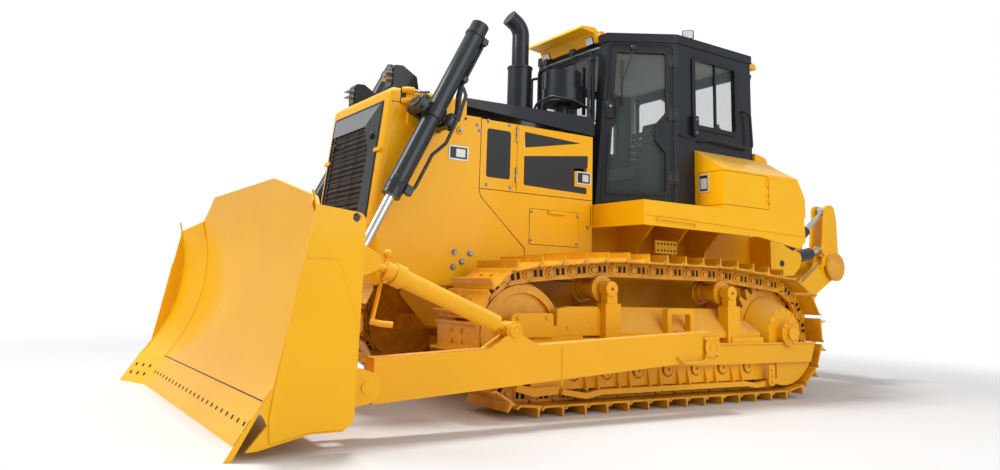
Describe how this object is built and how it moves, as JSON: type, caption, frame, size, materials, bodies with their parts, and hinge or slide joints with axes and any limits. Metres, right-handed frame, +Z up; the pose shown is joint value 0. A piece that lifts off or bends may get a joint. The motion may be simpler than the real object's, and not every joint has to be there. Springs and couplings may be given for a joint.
{
  "type": "crawler bulldozer with semi-U blade and single-shank ripper",
  "caption": "Crawler bulldozer with a tilting semi-U blade on push arms, a six-sided enclosed cab with side doors, and a parallelogram rear ripper.",
  "frame": {"origin": "under the middle of the machine's box, on the ground", "axes": "+X to the machine's left, -Y to its front (the blade), +Z up"},
  "size_m": [3.67, 7.2983, 3.6375],
  "materials": {
    "yellow_paint": "gloss machine enamel",
    "dark_paint": "satin dark grey enamel",
    "track_steel": "yellow enamel on cast and forged steel",
    "rod_chrome": "hard chrome, polished",
    "cylinder_paint": "gloss dark grey enamel",
    "clear_glass": "tinted safety glass",
    "seat_vinyl": "grained black vinyl and plastic",
    "engine_iron": "painted grey casting"
  },
  "bodies": {
    "machine": {"main_frame": "yellow_paint", "engine_block": "engine_iron", "radiator_guard": "yellow_paint", "grille": "dark_paint", "hood_cover": "dark_paint", "side_panels": "yellow_paint", "lamps": "dark_paint", "exhaust_pipe": "dark_paint", "precleaner": "dark_paint", "cab_shell": "dark_paint", "cab_roof": "dark_paint", "roof_visors": "yellow_paint", "cab_glass": "clear_glass", "cab_interior": "seat_vinyl", "fenders": "yellow_paint", "side_tanks": "yellow_paint", "rear_tank": "yellow_paint", "track_frames": "yellow_paint", "rollers": "track_steel", "idlers": "track_steel", "sprockets": "track_steel", "final_drives": "yellow_paint", "roller_guards": "yellow_paint", "track_left": "track_steel", "track_right": "track_steel", "ripper_mount": "yellow_paint"},
    "trunnions": {"trunnion_shafts": "track_steel"},
    "blade": {"blade": "yellow_paint", "blade_brackets": "yellow_paint", "cutting_edge": "yellow_paint"},
    "push_arm_left": {"push_arm_left": "yellow_paint"},
    "push_arm_right": {"push_arm_right": "yellow_paint"},
    "brace": {"brace": "yellow_paint"},
    "tilt_barrel": {"tilt_barrel": "yellow_paint"},
    "tilt_rod": {"tilt_rod": "rod_chrome"},
    "lift_barrel_left": {"lift_barrel_left": "cylinder_paint", "lift_yoke_left": "cylinder_paint"},
    "lift_barrel_right": {"lift_barrel_right": "cylinder_paint", "lift_yoke_right": "cylinder_paint"},
    "lift_rod_left": {"lift_rod_left": "rod_chrome"},
    "lift_rod_right": {"lift_rod_right": "rod_chrome"},
    "ripper_arm": {"ripper_arm": "yellow_paint"},
    "ripper_pins": {"ripper_pins": "track_steel"},
    "ripper_carriage": {"ripper_carriage": "yellow_paint", "ripper_shank": "track_steel"},
    "ripper_lift_barrels": {"ripper_lift_barrels": "cylinder_paint"},
    "ripper_lift_rods": {"ripper_lift_rods": "rod_chrome"},
    "ripper_tilt_pins": {"ripper_tilt_pins": "track_steel"},
    "ripper_tilt_barrels": {"ripper_tilt_barrels": "cylinder_paint"},
    "ripper_tilt_rods": {"ripper_tilt_rods": "rod_chrome"},
    "cab_door_left": {"cab_door_left": "dark_paint", "door_glass_left": "clear_glass"},
    "cab_door_right": {"cab_door_right": "dark_paint", "door_glass_right": "clear_glass"},
    "engine_door_left": {"engine_door_left": "yellow_paint"},
    "engine_door_right": {"engine_door_right": "yellow_paint"},
    "tank_door_left": {"tank_door_left": "yellow_paint"},
    "tank_door_right": {"tank_door_right": "yellow_paint"}
  },
  "joints": [
    {"name": "blade_lift", "type": "hinge", "parent": "machine", "child": "trunnions", "pos_m": [0, 0.21, 0.51], "axis": [-1, 0, 0], "range_deg": [-8, 19]},
    {"name": "blade_tilt", "type": "hinge", "parent": "trunnions", "child": "blade", "pos_m": [0, -2.801, 0.314], "axis": [0.4522, 0.89, 0.0579], "range_deg": [-4.5, 4.5]},
    {"name": "arm_left_rock", "type": "hinge", "parent": "trunnions", "child": "push_arm_left", "pos_m": [1.53, 0.21, 0.51], "axis": [1, 0, 0], "range_deg": [-2.08, 2.08]},
    {"name": "arm_right_rock", "type": "hinge", "parent": "trunnions", "child": "push_arm_right", "pos_m": [-1.53, 0.21, 0.51], "axis": [-1, 0, 0], "range_deg": [-2.08, 2.08]},
    {"name": "brace_swing", "type": "hinge", "parent": "push_arm_left", "child": "brace", "pos_m": [1.53, -1.711, 0.64], "axis": [0, 0, 1], "range_deg": [-2.8, 2.8]},
    {"name": "tilt_barrel_turn", "type": "hinge", "parent": "push_arm_right", "child": "tilt_barrel", "pos_m": [-1.53, -1.711, 0.64], "axis": [0.3186, 0, 0.9479], "range_deg": [-2.96, 2.96]},
    {"name": "tilt_rod_slide", "type": "slide", "parent": "tilt_barrel", "child": "tilt_rod", "axis": [0, -0.9334, 0.3589], "range_m": [-0.0514, 0.0514]},
    {"name": "lift_barrel_left_turn", "type": "hinge", "parent": "machine", "child": "lift_barrel_left", "pos_m": [0.82, -2.00269, 2.2502], "axis": [1, 0, 0], "range_deg": [-15.64, 6.59]},
    {"name": "lift_rod_left_slide", "type": "slide", "parent": "lift_barrel_left", "child": "lift_rod_left", "axis": [0, -0.4407, -0.8976], "range_m": [-0.9434, 0.3978]},
    {"name": "lift_barrel_right_turn", "type": "hinge", "parent": "machine", "child": "lift_barrel_right", "pos_m": [-0.82, -2.00269, 2.2502], "axis": [1, 0, 0], "range_deg": [-15.64, 6.59]},
    {"name": "lift_rod_right_slide", "type": "slide", "parent": "lift_barrel_right", "child": "lift_rod_right", "axis": [0, -0.4407, -0.8976], "range_m": [-0.9434, 0.3978]},
    {"name": "ripper_lift", "type": "hinge", "parent": "machine", "child": "ripper_arm", "pos_m": [0, 2.31, 0.7], "axis": [1, 0, 0], "range_deg": [-42, 0]},
    {"name": "ripper_pin_turn", "type": "hinge", "parent": "ripper_arm", "child": "ripper_pins", "pos_m": [0, 3.3, 1.285], "axis": [1, 0, 0], "range_deg": [0, 42.84]},
    {"name": "ripper_pitch", "type": "hinge", "parent": "ripper_pins", "child": "ripper_carriage", "pos_m": [0, 3.3, 1.285], "axis": [1, 0, 0], "range_deg": [-8, 16]},
    {"name": "ripper_lift_barrel_turn", "type": "hinge", "parent": "machine", "child": "ripper_lift_barrels", "pos_m": [0, 2.33, 1.28], "axis": [1, 0, 0], "range_deg": [-42.42, 0]},
    {"name": "ripper_lift_rod_slide", "type": "slide", "parent": "ripper_lift_barrels", "child": "ripper_lift_rods", "axis": [0, 0.9762, 0.2167], "range_m": [-0.001, 0.4281]},
    {"name": "ripper_tilt_pin_turn", "type": "hinge", "parent": "machine", "child": "ripper_tilt_pins", "pos_m": [0, 2.63, 1.338], "axis": [1, 0, 0], "range_deg": [-47.69, 0]},
    {"name": "ripper_tilt_barrel_turn", "type": "hinge", "parent": "ripper_tilt_pins", "child": "ripper_tilt_barrels", "pos_m": [0, 2.63, 1.338], "axis": [1, 0, 0], "range_deg": [-4.13, 8.27]},
    {"name": "ripper_tilt_rod_slide", "type": "slide", "parent": "ripper_tilt_barrels", "child": "ripper_tilt_rods", "axis": [0, 0.8192, 0.5735], "range_m": [-0.1291, 0.0651]},
    {"name": "cab_door_left", "type": "hinge", "parent": "machine", "child": "cab_door_left", "pos_m": [0.91568, 0.50996, 2.5], "axis": [0, 0, 1], "range_deg": [0, 110]},
    {"name": "engine_door_left", "type": "hinge", "parent": "machine", "child": "engine_door_left", "pos_m": [0.6103, -1.0575, 2], "axis": [0, 0, -1], "range_deg": [0, 100]},
    {"name": "tank_door_left", "type": "hinge", "parent": "machine", "child": "tank_door_left", "pos_m": [1.2803, 1.4075, 1.9], "axis": [0, 0, 1], "range_deg": [0, 100]},
    {"name": "cab_door_right", "type": "hinge", "parent": "machine", "child": "cab_door_right", "pos_m": [-0.91568, 0.50996, 2.5], "axis": [0, 0, -1], "range_deg": [0, 110]},
    {"name": "engine_door_right", "type": "hinge", "parent": "machine", "child": "engine_door_right", "pos_m": [-0.6103, -1.0575, 2], "axis": [0, 0, 1], "range_deg": [0, 100]},
    {"name": "tank_door_right", "type": "hinge", "parent": "machine", "child": "tank_door_right", "pos_m": [-1.2803, 1.4075, 1.9], "axis": [0, 0, -1], "range_deg": [0, 100]}
  ],
  "couplings": [
    {"joint": "arm_left_rock", "follows": "blade_tilt", "ratio": 0.45198},
    {"joint": "arm_right_rock", "follows": "blade_tilt", "ratio": 0.45198},
    {"joint": "brace_swing", "follows": "blade_tilt", "ratio": 0.61046},
    {"joint": "tilt_barrel_turn", "follows": "blade_tilt", "ratio": 0.64401},
    {"joint": "tilt_rod_slide", "follows": "blade_tilt", "m_per_rad": 0.62889},
    {"joint": "lift_barrel_left_turn", "follows": "blade_lift", "ratio": -0.80715},
    {"joint": "lift_rod_left_slide", "follows": "blade_lift", "m_per_rad": -2.7862},
    {"joint": "lift_barrel_right_turn", "follows": "blade_lift", "ratio": -0.80715},
    {"joint": "lift_rod_right_slide", "follows": "blade_lift", "m_per_rad": -2.7862},
    {"joint": "ripper_pin_turn", "follows": "ripper_lift", "ratio": -1},
    {"joint": "ripper_lift_barrel_turn", "follows": "ripper_lift", "ratio": 0.99026},
    {"joint": "ripper_lift_rod_slide", "follows": "ripper_lift", "m_per_rad": -0.57116},
    {"joint": "ripper_tilt_pin_turn", "follows": "ripper_lift", "ratio": 1.1131},
    {"joint": "ripper_tilt_barrel_turn", "follows": "ripper_pitch", "ratio": 0.5066},
    {"joint": "ripper_tilt_rod_slide", "follows": "ripper_pitch", "m_per_rad": -0.44989}
  ]
}
